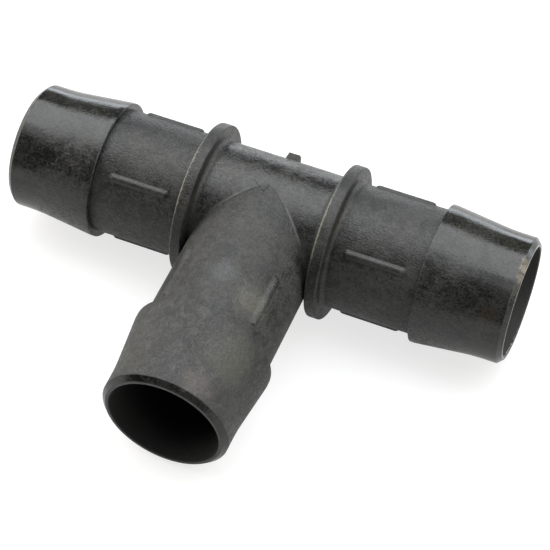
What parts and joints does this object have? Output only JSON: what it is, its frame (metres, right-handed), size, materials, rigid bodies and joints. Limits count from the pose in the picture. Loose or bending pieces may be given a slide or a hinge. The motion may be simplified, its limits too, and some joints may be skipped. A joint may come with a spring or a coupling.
{
  "type": "barbed tee connector",
  "caption": "Tee-shaped barbed hose connector in dark moulded plastic, with stop collars on the run, a long barb on each arm and low grip ribs on the necks.",
  "frame": {"origin": "where the run's axis and the branch's axis cross, inside the water way", "axes": "+X along the run, -Y out along the branch, +Z square to both"},
  "size_m": [0.1026, 0.0671, 0.0308],
  "materials": {
    "moulding": "satin dark grey glass-filled nylon with cloudy flow marks and fine fibre speckle"
  },
  "bodies": {
    "root": {"centre_body": "moulding", "gate_tab": "moulding", "left_collar": "moulding", "right_collar": "moulding", "left_neck": "moulding", "left_barb": "moulding", "left_grip_rib_1": "moulding", "left_grip_rib_2": "moulding", "left_grip_rib_3": "moulding", "left_grip_rib_4": "moulding", "right_neck": "moulding", "right_barb": "moulding", "right_grip_rib_1": "moulding", "right_grip_rib_2": "moulding", "right_grip_rib_3": "moulding", "right_grip_rib_4": "moulding", "branch_neck": "moulding", "branch_barb": "moulding", "branch_grip_rib_1": "moulding", "branch_grip_rib_2": "moulding", "branch_grip_rib_3": "moulding", "branch_grip_rib_4": "moulding"}
  },
  "joints": []
}
